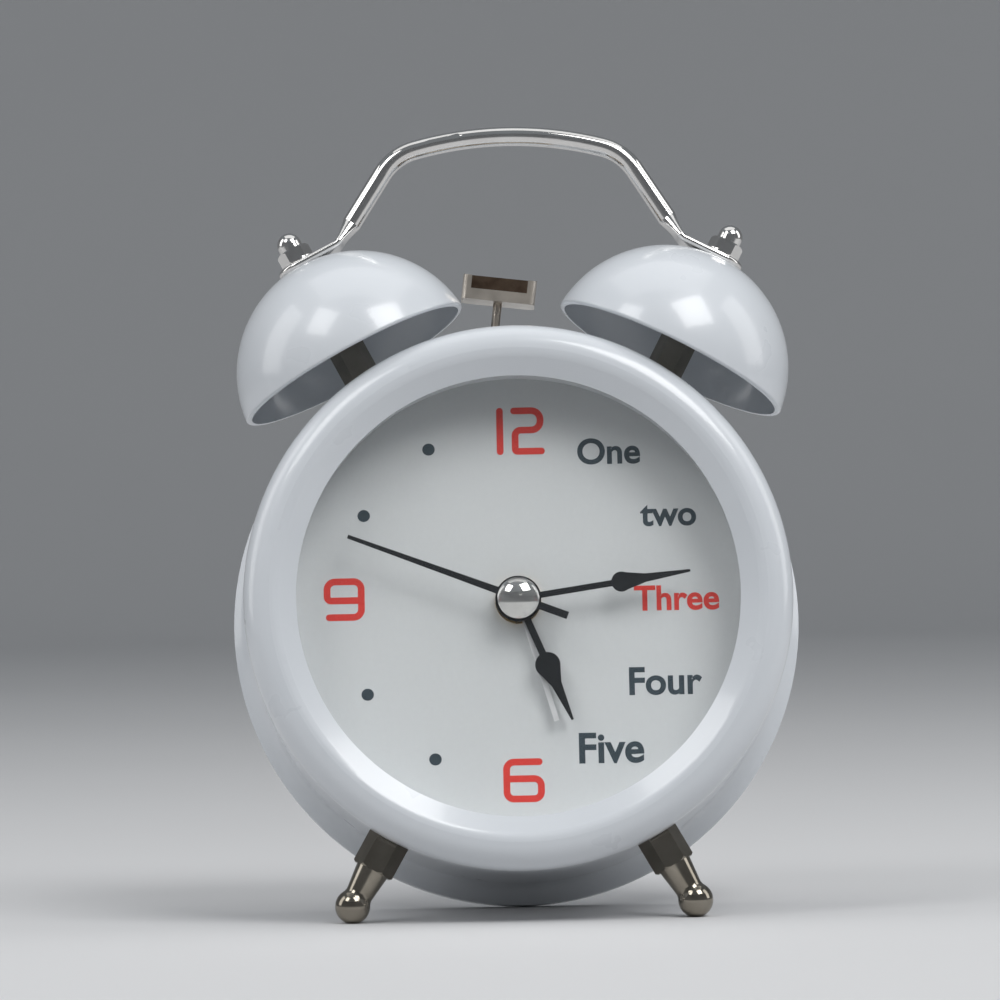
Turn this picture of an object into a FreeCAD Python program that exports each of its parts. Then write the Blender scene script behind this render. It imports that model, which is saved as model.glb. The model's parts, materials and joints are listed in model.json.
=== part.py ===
import FreeCAD, Part
import math
import os

# Twin-bell alarm clock with a quartz movement, in millimetres.
# It is drawn upright: X to the right, Y backwards along the dial's axis, Z up,
# with the origin where that axis meets the seam between bezel and drum.
# At the end the whole clock is leaned back until it stands on its two feet
# and on the rear rim of the case.

# Case
drum_r = 58.0
drum_wall = 0.8
drum_depth = 45.35
rim_flare = 4.05
rim_wall = 1.3
rim_round = 0.9
flare_depth = 11.85
flare_r = 10.0
flare_inner_reach = 5.7
fit_gap = 0.05

# Bezel, a hollow ring that carries the glass and the dial
bezel_step = 0.5
bezel_side = 3.0
bezel_round = 5.6
bezel_wall = 1.2
crest_round = 4.0
cone_angle = 29.0
window_r = 47.2
lip_thickness = 1.0
cup_wall = 1.0
cup_depth_behind_dial = 0.8
skirt_wall = 0.85
skirt_depth = 2.4
dial_tab_count = 4
dial_tab_width = 6.0
dial_tab_reach = 1.6

# Glass, spacer ring and dial
lens_r = 49.7
lens_thickness = 1.5
spacer_wall = 1.5
dial_face_y = 5.0
dial_thickness = 0.5

# Feet
foot_angle = 29.5
foot_y = 6.65
foot_ball_r = 3.75
foot_flat_depth = 0.2
foot_hex = 8.0
foot_hex_length = 7.5
foot_stem_top_r = 3.6
foot_stem_neck_r = 2.95
foot_stem_length = 5.54
foot_neck_round = 2.5

# Studs and nuts that hold feet and bell posts to the drum
stud_r = 2.0
stud_hole_gap = 0.15
inner_nut_hex = 7.0
inner_nut_height = 2.4
stud_past_nut = 0.8

# Bells
bell_y = 17.0
bell_x = 33.2
bell_z = 52.2
bell_tilt = 27.5
bell_r = 26.7
bell_wall = 1.2
bell_rim_offset = 2.0
bell_rim_round = 0.5
bell_flat_depth = 0.5
post_hex = 7.0
washer_r = 3.6
washer_thickness = 0.4
cap_nut_hex = 6.5
cap_nut_hex_height = 2.7
cap_nut_dome_r = 2.7
cap_nut_neck = 1.2
cap_nut_bore_gap = 1.0
post_stud_root = 1.0

# Carrying handle, a bent round bar pressed flat at both ends
handle_r = 2.1
handle_corner_x = 25.0
handle_corner_z = 100.15
handle_crown_rise = 6.75
handle_corner_r = 12.0
handle_press_length = 5.0
tab_thickness = 1.6
tab_width = 8.5
tab_out = 5.2
tab_in = 9.2
tab_bend_r = 3.0

# Rear cover, battery bay and door
cover_thickness = 1.8
cover_recess = 2.55
cover_gap = 0.1
bay_width = 52.0
bay_height = 15.5
bay_depth = 15.0
bay_wall = 1.2
bay_centre_z = -39.25
door_thickness = 1.2
door_margin = 1.6
door_gap = 0.2
door_grip_height = 2.4
door_grip_depth = 0.5
contact_size = 10.0
contact_thickness = 0.4
contact_nub_r = 2.5
contact_nub_length = 1.2
spring_r = 4.2
spring_wire_r = 0.4
spring_step = 0.5
spring_turns = 5
cover_tab_angles = (75.0, 180.0, 285.0)
cover_tab_r = 54.2
cover_tab_width = 8.0
cover_tab_height = 5.6
cover_tab_thickness = 1.4
screw_r = 1.25
screw_head_r = 2.4
screw_head_height = 1.3
screw_length = 5.5
screw_slot_width = 0.6
screw_slot_depth = 0.6

# Movement case
movement_size = 56.0
movement_wall = 1.5
movement_depth = 15.0
plate_thickness = 1.5
blind_hole_floor = 0.5
middle_plate_thickness = 0.8
bushing_r = 4.0
bushing_front_y = 3.6
ring_nut_r = 4.9
ring_nut_thickness = 1.1
ring_slot_width = 1.2

# Concentric pipes at the dial's centre
running_gap = 0.06
second_arbor_r = 0.7
pipe_wall = 0.54
pipe_past_wheel = 0.1
pivot_r = 0.5

# Layers of wheels, each the distance of its front face behind the front plate
wheel_thickness = 0.7
alarm_layer = 0.3
hour_layer = 1.3
cannon_layer = 2.3
centre_layer = 3.5
third_layer = 4.5
middle_plate_layer = 5.5
second_layer = 6.6
fifth_layer = 7.6
magnet_layer = 8.7

# Tooth counts; the tooth size follows from the distance between two axes
rotor_teeth = 8
fifth_teeth = 40
fifth_pinion_teeth = 10
second_teeth = 60
second_pinion_teeth = 8
third_teeth = 60
third_pinion_teeth = 8
centre_teeth = 64
cannon_teeth = 12
minute_teeth = 36
minute_pinion_teeth = 10
hour_teeth = 40
alarm_teeth = 40
alarm_pinion_teeth = 34
time_pinion_teeth = 12
third_distance = 12.24
third_direction = -90.0
fifth_distance = 10.5
fifth_direction = 90.0
rotor_distance = 7.2
rotor_direction = 30.0
minute_distance = 9.0
minute_direction = 150.0
alarm_stem_distance = 13.3
alarm_stem_direction = 30.0
tooth_height_share = 0.62
tooth_root_share = 1.05
tooth_width_share = 0.36
tooth_tip_share = 0.16

# Rotor magnet, stator, coil and circuit board
magnet_r = 3.0
magnet_thickness = 1.6
stator_gap = 0.4
stator_thickness = 1.0
stator_left = 1.6
stator_right = 15.0
stator_bottom = 10.6
stator_shoulder = 17.6
stator_bar_height = 1.4
stator_arm_left = -10.0
stator_leg_width = 2.4
stator_top = 24.0
core_bottom = 21.0
core_height = 2.0
coil_r = 2.4
coil_bore_r = 1.3
coil_end_gap = 0.3
board_left = -25.0
board_right = -3.0
board_bottom = -25.0
board_top = 1.0
board_thickness = 1.0
crystal_r = 1.0
crystal_length = 6.0
crystal_x = -18.0
crystal_z = -12.0

# Setting knobs behind the cover
stem_r = 1.5
stem_hole_gap = 0.08
knob_r = 6.0
knob_length = 5.2
knob_cover_gap = 0.5
knob_ridges = 24
knob_ridge_depth = 0.35
knob_insert = 3.0

# Hands
hand_thickness = 0.35
hand_step = 1.2
first_hand_gap = 0.3
pipe_past_hand = 0.08
hand_hub_r = 4.9
hour_hub_r = 4.2
alarm_hub_r = 3.6
minute_hand_length = 37.2
minute_bulb_at = 22.3
minute_bulb_r = 2.15
minute_shank = 1.3
minute_angle = 81.7
hour_hand_length = 28.3
hour_bulb_at = 15.4
hour_bulb_r = 2.7
hour_shank = 1.5
hour_angle = 157.0
bulb_tip_share = 0.35
hand_tip = 0.5
second_hand_length = 38.7
second_tail_length = 11.2
second_root_width = 1.6
second_tip_width = 0.8
second_hub_r = 2.2
second_angle = 291.0
alarm_hand_length = 27.2
alarm_hand_width = 1.1
alarm_angle = 163.5
cap_r = 4.45
cap_height = 1.7

# Hammer, its lever, and the motor that shakes it
hammer_pivot_x = -7.15
hammer_pivot_z = 33.0
hammer_rest_tilt = 7.06
hammer_swing_low = 0.8
hammer_swing_high = 8.6
pivot_pin_r = 1.0
pivot_pin_front = 1.0
pivot_pin_head_r = 1.9
lever_thickness = 1.2
lever_boss_r = 3.2
lever_width = 9.4
lever_bottom = 5.2
lever_top = 15.0
lever_slot_height = 5.2
crank_at = 11.0
crank_pin_r = 0.6
crank_clearance = 0.15
socket_width = 3.8
socket_depth = 3.6
socket_length = 5.0
socket_root = 0.6
stem_seat = 0.4
hammer_stem_r = 0.95
stem_rivet_r = 1.5
stem_rivet_height = 1.0
head_at = 34.2
head_length = 16.0
head_depth = 6.6
head_wall = 0.7
head_lip = 2.4
head_back = 6.3
head_ear = 5.3
head_corner = 1.2
slot_side_gap = 1.2
slot_depth_gap = 0.9
motor_r = 8.8
motor_length = 11.5
motor_boss_r = 3.0
motor_boss_length = 0.8
motor_end_wall = 1.5
motor_shaft_r = 0.75
motor_shaft_end_gap = 0.5
crank_disc_r = 2.4
crank_disc_thickness = 1.2
crank_lever_gap = 0.5
bracket_thickness = 1.2
bracket_half_width = 9.5
bracket_bottom = 19.5
bracket_top_margin = 3.0

# Alarm switch in the rear cover
switch_x = 0.0
switch_z = 22.0
switch_travel = 3.0
switch_button_width = 3.2
switch_button_height = 5.0
switch_button_out = 1.6
switch_neck_height = 2.6
switch_plate_width = 8.0
switch_plate_height = 6.0
switch_plate_thickness = 1.0
switch_gap = 0.1
switch_box_wall = 1.0
switch_box_depth = 3.0

# Sizes that follow from the ones above
drum_inner_r = drum_r - drum_wall
rim_r = drum_r + rim_flare
flare_start = drum_depth - flare_depth
bezel_r = drum_r + bezel_step
crest_r = bezel_r - bezel_round
crest_y = -bezel_side - bezel_round
cone = math.radians(cone_angle)
cone_top_r = crest_r - crest_round * math.sin(cone)
cone_top_y = crest_y + crest_round * (1.0 - math.cos(cone))
lip_y = cone_top_y + (cone_top_r - window_r) * math.tan(cone)
lens_front = lip_y + lip_thickness
lens_back = lens_front + lens_thickness
cup_r = lens_r + fit_gap
dial_back = dial_face_y + dial_thickness
cup_back = dial_back + cup_depth_behind_dial
cover_seat_y = drum_depth - cover_recess
cover_back = cover_seat_y + cover_thickness
stud_hole_r = stud_r + stud_hole_gap
plate_back = dial_back + plate_thickness
movement_back = dial_back + movement_depth
inside_back = movement_back - movement_wall
middle_front = plate_back + middle_plate_layer
middle_back = middle_front + middle_plate_thickness
minute_pipe_in = second_arbor_r + running_gap
minute_pipe_out = minute_pipe_in + pipe_wall
hour_pipe_in = minute_pipe_out + running_gap
hour_pipe_out = hour_pipe_in + pipe_wall
alarm_pipe_in = hour_pipe_out + running_gap
alarm_pipe_out = alarm_pipe_in + pipe_wall
bushing_in = alarm_pipe_out + running_gap
alarm_hand_y = bushing_front_y - first_hand_gap - hand_thickness
hour_hand_y = alarm_hand_y - hand_step
minute_hand_y = hour_hand_y - hand_step
second_hand_y = minute_hand_y - hand_step
hammer_y = bell_y
lever_front = hammer_y - lever_thickness / 2.0
lever_back = hammer_y + lever_thickness / 2.0
swing_half = math.radians((hammer_swing_low + hammer_swing_high) / 2.0)
swing_centre = hammer_rest_tilt + (hammer_swing_high - hammer_swing_low) / 2.0
crank_r = crank_at * math.sin(swing_half)
lever_slot_half = crank_pin_r + 2.0 * crank_r + crank_clearance
bell_top = bell_r - bell_flat_depth
bell_inner_top = bell_top - bell_wall + fit_gap * 2.0
tilt = math.radians(bell_tilt)

# A foot's stem runs into its ball through a hollow of radius foot_neck_round.
foot_neck_reach = math.sqrt(
    (foot_ball_r + foot_neck_round) ** 2 - (foot_stem_neck_r + foot_neck_round) ** 2
)
foot_ball_reach = drum_r + foot_hex_length + foot_stem_length + foot_neck_reach

# Lean: a foot's ball and the rear rim's round touch one floor.
foot_down = foot_ball_reach * math.cos(math.radians(foot_angle))
foot_to_rim = drum_depth - rim_round - foot_y
foot_below_rim = foot_down - (rim_r - rim_round)
stance = math.hypot(foot_to_rim, foot_below_rim)
floor_step = foot_ball_r - foot_flat_depth - rim_round
lean = math.atan2(foot_below_rim, foot_to_rim) + math.asin(floor_step / stance)


def vec(x, y, z):
    return FreeCAD.Vector(x, y, z)


def polar(angle, distance, x=0.0, z=0.0):
    """Point in the dial's plane, the angle in degrees from X towards Z."""
    a = math.radians(angle)
    return x + distance * math.cos(a), z + distance * math.sin(a)


def disc(radius, front, back, x=0.0, z=0.0):
    return Part.makeCylinder(radius, back - front, vec(x, front, z), vec(0, 1, 0))


def ring(outer, inner, front, back, x=0.0, z=0.0):
    return disc(outer, front, back, x, z).cut(disc(inner, front - 1, back + 1, x, z))


def block(x0, x1, y0, y1, z0, z1):
    return Part.makeBox(x1 - x0, y1 - y0, z1 - z0, vec(x0, y0, z0))


def turned(start, steps):
    """Solid turned about the Y axis from an outline of (radius, y) points.

    Each step is one point for a straight side, or a middle and an end for an arc.
    """
    edges = []
    here = vec(start[0], start[1], 0)
    for step in steps + [(start,)]:
        end = vec(step[-1][0], step[-1][1], 0)
        if len(step) == 2:
            middle = vec(step[0][0], step[0][1], 0)
            edges.append(Part.Arc(here, middle, end).toShape())
        elif here.distanceToPoint(end) > 1e-7:
            edges.append(Part.LineSegment(here, end).toShape())
        here = end
    face = Part.Face(Part.Wire(edges))
    return face.revolve(vec(0, 0, 0), vec(0, 1, 0), 360)


def aimed(shape, base, direction, drawn=vec(0, 0, 1)):
    """Moves a solid drawn along an axis, Z if none is given, to start at base along direction."""
    turn = FreeCAD.Rotation(drawn, direction)
    moved = shape.copy()
    moved.Placement = FreeCAD.Placement(base, turn)
    return moved


def rod(radius, base, direction, length):
    return aimed(Part.makeCylinder(radius, length), base, direction)


def hexagon(across, base, direction, length):
    corner_r = across / math.sqrt(3.0)
    corners = []
    for i in range(7):
        a = math.radians(60.0 * i)
        corners.append(vec(corner_r * math.cos(a), corner_r * math.sin(a), 0))
    prism = Part.Face(Part.makePolygon(corners)).extrude(vec(0, 0, length))
    return aimed(prism, base, direction)


def toothed(teeth, module, front, back, x=0.0, z=0.0, turn=0.0):
    """Gear blank with straight-sided teeth and generous backlash."""
    pitch_r = module * teeth / 2.0
    tip_r = pitch_r + module * tooth_height_share
    root_r = pitch_r - module * tooth_root_share
    step = 2.0 * math.pi / teeth
    points = []
    for i in range(teeth):
        middle = math.radians(turn) + i * step
        for radius, share in (
            (root_r, -tooth_width_share),
            (tip_r, -tooth_tip_share),
            (tip_r, tooth_tip_share),
            (root_r, tooth_width_share),
        ):
            a = middle + share * step
            points.append(vec(x + radius * math.cos(a), front, z + radius * math.sin(a)))
    points.append(points[0])
    return Part.Face(Part.makePolygon(points)).extrude(vec(0, back - front, 0))


def joined(*shapes):
    whole = shapes[0]
    for shape in shapes[1:]:
        whole = whole.fuse(shape)
    return whole.removeSplitter()


def group(*shapes):
    """Identical fasteners kept as separate solids of one node."""
    return Part.makeCompound(list(shapes))


def side_name(side):
    return "left" if side < 0 else "right"


def foot_line(side):
    a = math.radians(foot_angle)
    return vec(0, foot_y, 0), vec(side * math.sin(a), 0, -math.cos(a))


def bell_line(side):
    return vec(side * bell_x, bell_y, bell_z), vec(side * math.sin(tilt), 0, math.cos(tilt))


def along(line, distance):
    return line[0] + line[1] * distance


def drum_entry(line, radius):
    """Distance along a line at which it leaves a cylinder about the dial's axis."""
    base = line[0]
    way = line[1]
    b = base.x * way.x + base.z * way.z
    c = base.x ** 2 + base.z ** 2 - radius ** 2
    return -b + math.sqrt(b * b - c)


def gear_module(distance, first, second):
    return 2.0 * distance / (first + second)


# Case

def cover_tab_points():
    return [polar(90.0 - angle, cover_tab_r) for angle in cover_tab_angles]


def case_drum():
    shelf_r = flare_start + flare_inner_reach
    centre_r = drum_r + flare_r
    outer_end = math.acos((centre_r - rim_r) / flare_r)
    inner_r = flare_r + drum_wall
    inner_end = math.asin(flare_inner_reach / inner_r)

    def flare(radius, angle):
        return centre_r - radius * math.cos(angle), flare_start + radius * math.sin(angle)

    rim_in = rim_r - rim_wall
    round_in = rim_round * (1.0 - math.sqrt(0.5))
    shell_inner = flare(inner_r, inner_end)
    drum = turned(
        (drum_inner_r, 0.0),
        [
            ((drum_r, 0.0),),
            ((drum_r, flare_start),),
            (flare(flare_r, outer_end / 2.0), flare(flare_r, outer_end)),
            ((rim_r, drum_depth - rim_round),),
            ((rim_r - round_in, drum_depth - round_in), (rim_r - rim_round, drum_depth)),
            ((rim_in, drum_depth),),
            ((rim_in, cover_seat_y),),
            ((shell_inner[0], cover_seat_y),),
            (shell_inner,),
            (flare(inner_r, inner_end / 2.0), (drum_inner_r, flare_start)),
        ],
    )
    tab_back = cover_seat_y
    tab_front = tab_back - cover_tab_thickness
    for angle, point in zip(cover_tab_angles, cover_tab_points()):
        tab = block(
            -cover_tab_width / 2.0, cover_tab_width / 2.0,
            tab_front, tab_back,
            cover_tab_r - cover_tab_height / 2.0, shell_inner[0] + drum_wall / 2.0,
        )
        tab.rotate(vec(0, 0, 0), vec(0, 1, 0), angle)
        hole = disc(screw_r, tab_front - 1, tab_back + 1, point[0], point[1])
        drum = joined(drum, tab).cut(hole)
    for side in (-1, 1):
        for line in (foot_line(side), bell_line(side)):
            start = drum_entry(line, drum_inner_r) - drum_wall * 4
            drum = drum.cut(rod(stud_hole_r, along(line, start), line[1], drum_wall * 10))
    return drum.cut(hammer_slot())


def hammer_slot():
    """Opening in the top of the drum, as wide as the stem's swing needs."""
    reach = drum_r - hammer_pivot_z
    left = math.radians(hammer_rest_tilt - hammer_swing_low)
    right = math.radians(hammer_rest_tilt + hammer_swing_high)
    x0 = hammer_pivot_x + reach * math.tan(left) - hammer_stem_r - slot_side_gap
    x1 = hammer_pivot_x + reach * math.tan(right) + hammer_stem_r + slot_side_gap
    half = hammer_stem_r + slot_depth_gap
    cut = block(x0, x1, hammer_y - half, hammer_y + half, drum_r / 2.0, drum_r * 2.0)
    upright = [e for e in cut.Edges if abs(e.tangentAt(e.FirstParameter).z) > 0.9]
    return cut.makeFillet(half * 0.9, upright)


def bezel_ring():
    turn = math.sqrt(0.5)
    inner_round = bezel_round - bezel_wall
    inner_crest_r = crest_round - bezel_wall
    skirt_out = drum_inner_r - fit_gap
    skirt_in = skirt_out - skirt_wall
    cup_out = cup_r + cup_wall
    half_cone = cone / 2.0
    inner_side_r = bezel_r - bezel_wall
    inner_top = (crest_r, crest_y + bezel_wall)
    inner_cone = (
        crest_r - inner_crest_r * math.sin(cone),
        crest_y + bezel_wall + inner_crest_r * (1.0 - math.cos(cone)),
    )
    cup_front = inner_cone[1] + max(inner_cone[0] - cup_out, 0.0) * math.tan(cone)
    ringed = turned(
        (skirt_out, skirt_depth),
        [
            ((skirt_out, 0.0),),
            ((bezel_r, 0.0),),
            ((bezel_r, -bezel_side),),
            ((crest_r + bezel_round * turn, -bezel_side - bezel_round * turn), (crest_r, crest_y)),
            (
                (
                    crest_r - crest_round * math.sin(half_cone),
                    crest_y + crest_round * (1.0 - math.cos(half_cone)),
                ),
                (cone_top_r, cone_top_y),
            ),
            ((window_r, lip_y),),
            ((window_r, lens_front),),
            ((cup_r, lens_front),),
            ((cup_r, cup_back),),
            ((cup_out, cup_back),),
            ((cup_out, cup_front),),
            (inner_cone,),
            (
                (
                    crest_r - inner_crest_r * math.sin(half_cone),
                    crest_y + bezel_wall + inner_crest_r * (1.0 - math.cos(half_cone)),
                ),
                inner_top,
            ),
            (
                (crest_r + inner_round * turn, -bezel_side - inner_round * turn),
                (inner_side_r, -bezel_side),
            ),
            ((inner_side_r, -bezel_wall),),
            ((skirt_in, -bezel_wall),),
            ((skirt_in, skirt_depth),),
        ],
    )
    for i in range(dial_tab_count):
        tab = block(
            -dial_tab_width / 2.0, dial_tab_width / 2.0,
            dial_back, cup_back,
            cup_r - dial_tab_reach, cup_r + cup_wall / 2.0,
        )
        tab.rotate(vec(0, 0, 0), vec(0, 1, 0), 360.0 / dial_tab_count * (i + 0.5))
        ringed = joined(ringed, tab)
    return ringed


def front_lens():
    return disc(lens_r, lens_front, lens_back)


def dial_spacer_ring():
    return ring(lens_r, lens_r - spacer_wall, lens_back, dial_face_y)


def dial_plate():
    return ring(lens_r, bushing_r + fit_gap, dial_face_y, dial_back)


# Feet, bells, posts and handle

def inner_nut(line):
    """Nut inside the drum, its outer face bedded on the drum's inner wall."""
    wall_at = drum_entry(line, drum_inner_r)
    nut = hexagon(inner_nut_hex, along(line, wall_at - inner_nut_height), line[1], inner_nut_height)
    nut = nut.cut(rod(stud_r, along(line, wall_at - 2 * inner_nut_height), line[1], 3 * inner_nut_height))
    return nut.common(disc(drum_inner_r, -drum_depth, 2 * drum_depth))


def stud(line, outside):
    """Threaded end that passes the drum's wall and the inner nut."""
    wall_at = drum_entry(line, drum_inner_r)
    start = wall_at - inner_nut_height - stud_past_nut
    return rod(stud_r, along(line, start), line[1], outside - start)


def foot_stem():
    """Tapered stem and ball, drawn along Y from the end of the hexagon."""
    ball_y = foot_stem_length + foot_neck_reach
    hollow = (foot_stem_neck_r + foot_neck_round, foot_stem_length)
    touch = math.atan2(foot_neck_reach, -hollow[0])

    def on_hollow(angle):
        return hollow[0] + foot_neck_round * math.cos(angle), hollow[1] + foot_neck_round * math.sin(angle)

    def on_ball(angle):
        return foot_ball_r * math.cos(angle), ball_y + foot_ball_r * math.sin(angle)

    ball_start = touch - math.pi
    return turned(
        (0.0, -foot_hex_length / 2.0),
        [
            ((foot_stem_top_r, -foot_hex_length / 2.0),),
            ((foot_stem_top_r, 0.0),),
            ((foot_stem_neck_r, foot_stem_length),),
            (on_hollow((math.pi + touch) / 2.0), on_hollow(touch)),
            (on_ball((ball_start + math.pi / 2.0) / 2.0), (0.0, ball_y + foot_ball_r)),
        ],
    )


def foot(side):
    line = foot_line(side)
    hex_end = drum_r + foot_hex_length
    collar = hexagon(foot_hex, along(line, drum_r - drum_wall), line[1], foot_hex_length + drum_wall)
    collar = collar.cut(disc(drum_r, -drum_depth, 2 * drum_depth))
    corner_r = foot_hex / math.sqrt(3.0)
    drop = corner_r * 0.1
    bevel = Part.makeCone(corner_r + foot_hex_length, corner_r - drop, foot_hex_length + drop)
    collar = collar.common(aimed(bevel, along(line, hex_end - foot_hex_length - drop), line[1]))
    stem = aimed(foot_stem(), along(line, hex_end), line[1], vec(0, 1, 0))
    whole = joined(collar, stem, stud(line, hex_end - foot_hex_length / 2.0))
    down = vec(0, math.sin(lean), -math.cos(lean))
    floor_point = along(line, foot_ball_reach) + down * (foot_ball_r - foot_flat_depth)
    below = aimed(Part.makeCylinder(foot_ball_r * 2, foot_ball_r), floor_point, down)
    return whole.cut(below)


def bell(side):
    line = bell_line(side)
    outer = Part.makeSphere(bell_r, line[0])
    inner = Part.makeSphere(bell_r - bell_wall, line[0])
    keep = rod(bell_r * 2, along(line, bell_rim_offset), line[1], bell_top - bell_rim_offset)
    hollow = rod(bell_r * 2, along(line, -bell_r), line[1], bell_r + bell_inner_top)
    shell = outer.common(keep).cut(inner.common(hollow))
    rims = [e for e in shell.Edges if abs((e.CenterOfMass - line[0]).dot(line[1]) - bell_rim_offset) < 1e-6]
    rims.sort(key=lambda e: e.Length)
    shell = shell.makeFillet(bell_rim_round, rims[-1:])
    return shell.cut(rod(stud_hole_r, along(line, 0), line[1], bell_r * 2))


def bell_post(side):
    line = bell_line(side)
    foot_at = drum_entry(line, drum_r) - drum_wall
    pillar = hexagon(post_hex, along(line, foot_at), line[1], bell_inner_top - foot_at)
    pillar = pillar.cut(disc(drum_r, -drum_depth, 2 * drum_depth))
    nut_foot = bell_top + tab_thickness + washer_thickness
    root = bell_inner_top - post_stud_root
    top = rod(stud_r, along(line, root), line[1], nut_foot + cap_nut_hex_height - root)
    return joined(pillar, top, stud(line, foot_at + post_hex))


def tab_washer(side):
    line = bell_line(side)
    start = bell_top + tab_thickness
    flat = rod(washer_r, along(line, start), line[1], washer_thickness)
    return flat.cut(rod(stud_r, along(line, start - 1), line[1], washer_thickness + 2))


def cap_nut(side):
    line = bell_line(side)
    start = bell_top + tab_thickness + washer_thickness
    body = hexagon(cap_nut_hex, along(line, start), line[1], cap_nut_hex_height)
    corner_r = cap_nut_hex / math.sqrt(3.0)
    drop = corner_r * 0.12
    bevel = Part.makeCone(corner_r + cap_nut_hex_height, corner_r - drop, cap_nut_hex_height + drop)
    body = body.common(aimed(bevel, along(line, start - drop), line[1]))
    neck = rod(cap_nut_dome_r, along(line, start + cap_nut_hex_height / 2.0), line[1],
               cap_nut_hex_height / 2.0 + cap_nut_neck)
    dome = Part.makeSphere(cap_nut_dome_r, along(line, start + cap_nut_hex_height + cap_nut_neck))
    bore = rod(stud_r, along(line, start - 1), line[1], cap_nut_hex_height + cap_nut_bore_gap + 1)
    return joined(body, neck, dome).cut(bore)


def cross_section(point, way, outline):
    """Closed wire across a line, from corners that may each carry the middle of an arc to the next."""
    across = vec(0, 1, 0)
    up = way.cross(across)

    def place(spot):
        return point + across * spot[0] + up * spot[1]

    edges = []
    for i, (corner, middle) in enumerate(outline):
        here = place(corner)
        there = place(outline[(i + 1) % len(outline)][0])
        if middle is None:
            edges.append(Part.LineSegment(here, there).toShape())
        else:
            edges.append(Part.Arc(here, place(middle), there).toShape())
    return Part.Wire(edges)


def round_outline():
    c = handle_r * math.sqrt(0.5)
    return [
        ((c, c), (0, handle_r)),
        ((-c, c), (-handle_r, 0)),
        ((-c, -c), (0, -handle_r)),
        ((c, -c), (handle_r, 0)),
    ]


def flat_outline():
    e = tab_thickness / 2.0
    half = tab_width / 2.0 - e
    return [((half, e), None), ((-half, e), (-half - e, 0)), ((-half, -e), None), ((half, -e), (half + e, 0))]


def half_flat_outline():
    e = tab_thickness / 2.0
    half = tab_width / 2.0 - e
    return [((0, e), None), ((half, e), (half + e, 0)), ((half, -e), None), ((0, -e), None)]


def bent_bar(outline, points, radii):
    """Bar of one cross section along a line whose inner corners are rounded."""
    ways = []
    for a, b in zip(points, points[1:]):
        ways.append((b - a).normalize())
    runs = []
    start = points[0]
    for i, way in enumerate(ways):
        end = points[i + 1]
        if i < len(radii):
            after = ways[i + 1]
            turn = way.getAngle(after)
            reach = radii[i] * math.tan(turn / 2.0)
            end = end - way * reach
        if end.distanceToPoint(start) > 1e-6:
            runs.append(Part.Face(cross_section(start, way, outline)).extrude(end - start))
        if i < len(radii):
            axis = way.cross(after).normalize()
            centre = end + axis.cross(way) * radii[i]
            bend = Part.Face(cross_section(end, way, outline))
            runs.append(bend.revolve(centre, axis, math.degrees(turn)))
            start = points[i + 1] + after * reach
    return runs


def handle_points(side):
    """Centre line of one half: round tip, bend, end of the flat, start of the round bar, corner."""
    line = bell_line(side)
    outwards = vec(side * math.cos(tilt), 0, -math.sin(tilt))
    middle = along(line, bell_top + tab_thickness / 2.0)
    tip = middle + outwards * (tab_out - tab_width / 2.0)
    bend = middle - outwards * tab_in
    corner = vec(side * handle_corner_x, bell_y, handle_corner_z)
    leg = (corner - bend).normalize()
    flat_end = bend + leg * (tab_bend_r * math.tan(leg.getAngle(-outwards) / 2.0))
    return tip, bend, flat_end, flat_end + leg * handle_press_length, corner


def carry_handle():
    left = handle_points(-1)
    right = handle_points(1)
    peak = vec(0, bell_y, handle_corner_z + handle_crown_rise)
    leg = (left[4] - left[3]).normalize()
    crown = (peak - left[4]).normalize()
    corner_reach = handle_corner_r * math.tan(leg.getAngle(crown) / 2.0)
    crown_turn = crown.getAngle((right[4] - peak).normalize())
    crown_r = (left[4].distanceToPoint(peak) - corner_reach) / math.tan(crown_turn / 2.0)
    runs = bent_bar(
        round_outline(),
        [left[3], left[4], peak, right[4], right[3]],
        [handle_corner_r, crown_r, handle_corner_r],
    )
    for side, (tip, bend, flat_end, bar_start, corner) in ((-1, left), (1, right)):
        runs.extend(bent_bar(flat_outline(), [tip, bend, flat_end], [tab_bend_r]))
        inwards = (bend - tip).normalize()
        half = Part.Face(cross_section(tip, inwards, half_flat_outline()))
        runs.append(half.revolve(tip, inwards.cross(vec(0, 1, 0)), 180))
        leg = (corner - bar_start).normalize()
        ends = [cross_section(flat_end, leg, flat_outline()), cross_section(bar_start, leg, round_outline())]
        runs.append(Part.makeLoft(ends, True))
    bar = joined(*runs)
    for side in (-1, 1):
        line = bell_line(side)
        bar = bar.cut(rod(stud_r, along(line, bell_r / 2.0), line[1], bell_r))
    return bar


# Rear cover, its screws, the battery bay and its door

def door_box():
    half = bay_width / 2.0 + door_margin
    low = bay_centre_z - bay_height / 2.0 - door_margin
    high = bay_centre_z + bay_height / 2.0 + door_margin
    return half, low, high


def stem_points():
    minute_x, minute_z = polar(minute_direction, minute_distance)
    time_x, time_z = polar(minute_direction, minute_distance + time_stem_distance())
    alarm_x, alarm_z = polar(alarm_stem_direction, alarm_stem_distance)
    return (minute_x, minute_z), (time_x, time_z), (alarm_x, alarm_z)


def time_stem_distance():
    module = gear_module(minute_distance, cannon_teeth, minute_teeth)
    return module * (minute_teeth + time_pinion_teeth) / 2.0


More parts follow.
